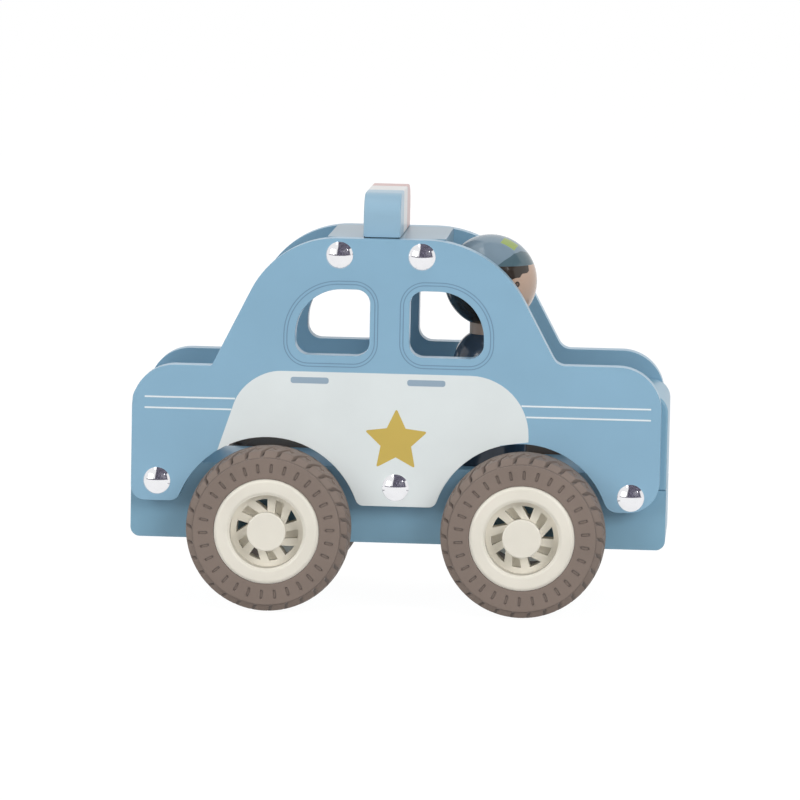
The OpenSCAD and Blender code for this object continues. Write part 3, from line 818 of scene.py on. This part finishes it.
collar = degrees(acos(neck_r / torso_r))
flank = [
    (foot_r + (torso_r - foot_r) * i / flank_steps, flank_z + (torso_z - flank_z) * i / flank_steps)
    for i in range(flank_steps + 1)
]
body_profile = (
    [(0, foot_z), (foot_r - foot_edge_r, foot_z)]
    + arc((13.25, foot_z + foot_edge_r), foot_edge_r, -88, -3, 8) + flank
    + arc((0, torso_z), torso_r, 3, collar, 22)
    + [(neck_r, neck_foot_z), (neck_r, neck_z), (0, neck_z)]
)
body = turned(body_profile, 128)
bmesh.ops.translate(body, verts=body.verts, vec=(driver_x, 0, 0))
for face in body.faces:
    face.material_index = 1 if face.calc_center_median().z > collar_z * mm else 0
navy_gloss = gloss_paint("navy_gloss", navy_paint)
uniform = stand_for("driver_body", body, navy_gloss, "driver")
uniform.data.materials.append(gloss_paint("neck_gloss", skin_paint))

facing = radians(-28)
forward = Vector((cos(facing), sin(facing), 0))
sideways = Vector((sin(facing), -cos(facing), 0))


def way(across, rise):
    """Direction from the middle of the head, in degrees from where the driver looks."""
    a, e = radians(across), radians(rise)
    return (forward * cos(a) + sideways * sin(a)) * cos(e) + Vector((0, 0, sin(e)))


# The painted edges, in degrees across from where the driver looks and up from the middle.
eye_across, eye_rise, eye_r, painted_eye_glint_r = 24.5, 0.3, 3.7, 1.5
cheek_across, cheek_rise, cheek_r, cheek_share = 21, -12, 5.2, 0.45
cap_rise = 23
badge_across, badge_rise = 11, 58
badge_lean, badge_half_tall, badge_half_wide = 0.27, 0.17, 0.16
hair_stops = (
    (-180, -66), (-76, -64), (-62, -45), (-48, -20), (-37, 8), (-33, 24), (-0.6, 24), (0.6, 16.5),
    (6, 13.5), (16, 13), (20, 8.5), (27, 8), (36, 5), (48, -6), (60, -40), (74, -64), (180, -66),
)
visor_stops = (
    (-180, 22), (-54, 22), (-40, 31), (-20, 40), (0, 43), (20, 40), (40, 31), (54, 22), (180, 22),
)
cheek_red = (0.55, 0.25, 0.2)
eye_dark = (0.03, 0.018, 0.012)
painted_eye_glint = (0.16, 0.09, 0.06)
hair_brown = (0.033, 0.024, 0.017)
cap_blue = (0.21, 0.29, 0.355)
visor_blue = (0.082, 0.14, 0.168)
badge_green = (0.30, 0.40, 0.10)


def head_paint():
    """The painted head. Every edge follows from the direction that a point has from its middle."""
    material, tree, shader = shaded("painted_head")

    def calc(operation, *terms):
        """The result of one sum on sockets and plain values."""
        sum_node = tree.nodes.new("ShaderNodeMath")
        sum_node.operation = operation
        for term, socket in zip(terms, sum_node.inputs):
            if isinstance(term, (int, float)):
                socket.default_value = term
            else:
                tree.links.new(term, socket)
        return sum_node.outputs[0]

    coords = tree.nodes.new("ShaderNodeTexCoord")
    out = tree.nodes.new("ShaderNodeVectorMath")
    out.operation = "SUBTRACT"
    out.inputs[1].default_value = (driver_x, 0, head_z * mm)
    tree.links.new(coords.outputs["Object"], out.inputs[0])
    unit = tree.nodes.new("ShaderNodeVectorMath")
    unit.operation = "NORMALIZE"
    tree.links.new(out.outputs[0], unit.inputs[0])

    def along(direction):
        """How much of a point's direction lies along another one."""
        dot = tree.nodes.new("ShaderNodeVectorMath")
        dot.operation = "DOT_PRODUCT"
        dot.inputs[1].default_value = direction
        tree.links.new(unit.outputs[0], dot.inputs[0])
        return dot.outputs["Value"]

    def over(value, edge, soft):
        """Zero below an edge, one above it, with a soft change between."""
        ramp = tree.nodes.new("ShaderNodeMapRange")
        ramp.interpolation_type = "SMOOTHSTEP"
        low, high = (calc("SUBTRACT", edge, soft), calc("ADD", edge, soft))
        tree.links.new(value, ramp.inputs["Value"])
        tree.links.new(low, ramp.inputs["From Min"])
        tree.links.new(high, ramp.inputs["From Max"])
        return ramp.outputs["Result"]

    def curve(value, stops, low, high):
        """A height in degrees that follows an angle in degrees through the given points."""
        ramp = tree.nodes.new("ShaderNodeValToRGB")
        elements = ramp.color_ramp.elements
        while len(elements) < len(stops):
            elements.new(0.5)
        for element, (place, height) in zip(elements, stops):
            element.position = (place + 180) / 360
        for element, (place, height) in zip(elements, stops):
            grey = (height - low) / (high - low)
            element.color = (grey, grey, grey, 1)
        tree.links.new(calc("DIVIDE", calc("ADD", value, 180), 360), ramp.inputs["Fac"])
        split = tree.nodes.new("ShaderNodeSeparateColor")
        tree.links.new(ramp.outputs["Color"], split.inputs[0])
        return calc("ADD", calc("MULTIPLY", split.outputs[0], high - low), low)

    def coat(under, mask, colour):
        """Paint of one colour over what is there."""
        mix = tree.nodes.new("ShaderNodeMix")
        mix.data_type = "RGBA"
        tree.links.new(mask, mix.inputs["Factor"])
        tree.links.new(under, mix.inputs["A"])
        mix.inputs["B"].default_value = (*colour, 1)
        return mix.outputs["Result"]

    across = calc("DEGREES", calc("ARCTAN2", along(sideways), along(forward)))
    rise = calc("DEGREES", calc("ARCSINE", along((0, 0, 1))))
    colour = tint(tree, noise(tree, patch_scale), skin_paint, patch_change)
    for side in (-1, 1):
        cheek = over(along(way(side * cheek_across, cheek_rise)), cos(radians(cheek_r)), 0.006)
        colour = coat(colour, calc("MULTIPLY", cheek, cheek_share), cheek_red)
        eye = along(way(side * eye_across, eye_rise))
        colour = coat(colour, over(eye, cos(radians(eye_r)), 0.0003), eye_dark)
        # A lighter dot in the middle of each eye: a painted highlight.
        colour = coat(colour, over(eye, cos(radians(painted_eye_glint_r)), 0.0002), painted_eye_glint)
    hair = over(rise, curve(across, hair_stops, -70, 40), 0.5)
    colour = coat(colour, hair, hair_brown)
    cap = over(rise, cap_rise, 0.35)
    colour = coat(colour, cap, cap_blue)
    above_visor = over(rise, curve(across, visor_stops, 0, 60), 0.35)
    visor = calc("MAXIMUM", calc("SUBTRACT", cap, above_visor), 0)
    colour = coat(colour, visor, visor_blue)
    badge = way(badge_across, badge_rise)
    tall = sideways * badge_lean + Vector((0, 0, 1))
    tall = (tall - badge * tall.dot(badge)).normalized()
    off_tall = calc("DIVIDE", calc("ABSOLUTE", along(tall)), badge_half_tall)
    off_wide = calc("DIVIDE", calc("ABSOLUTE", along(badge.cross(tall))), badge_half_wide)
    plate = over(calc("SUBTRACT", 1, calc("MAXIMUM", off_tall, off_wide)), 0, 0.04)
    near_badge = over(along(badge), 0.5, 0.01)
    colour = coat(colour, calc("MULTIPLY", plate, near_badge), badge_green)
    tree.links.new(colour, shader.inputs["Base Color"])
    lathe_marks(tree, shader, 6e-6)
    return material


chin = degrees(asin((neck_z - head_z) / head_r))
head = turned([(0, neck_z)] + arc((0, head_z), head_r, chin, 90, 96), 192)
bmesh.ops.translate(head, verts=head.verts, vec=(driver_x, 0, 0))
stand_for("driver_head", head, head_paint(), "driver")
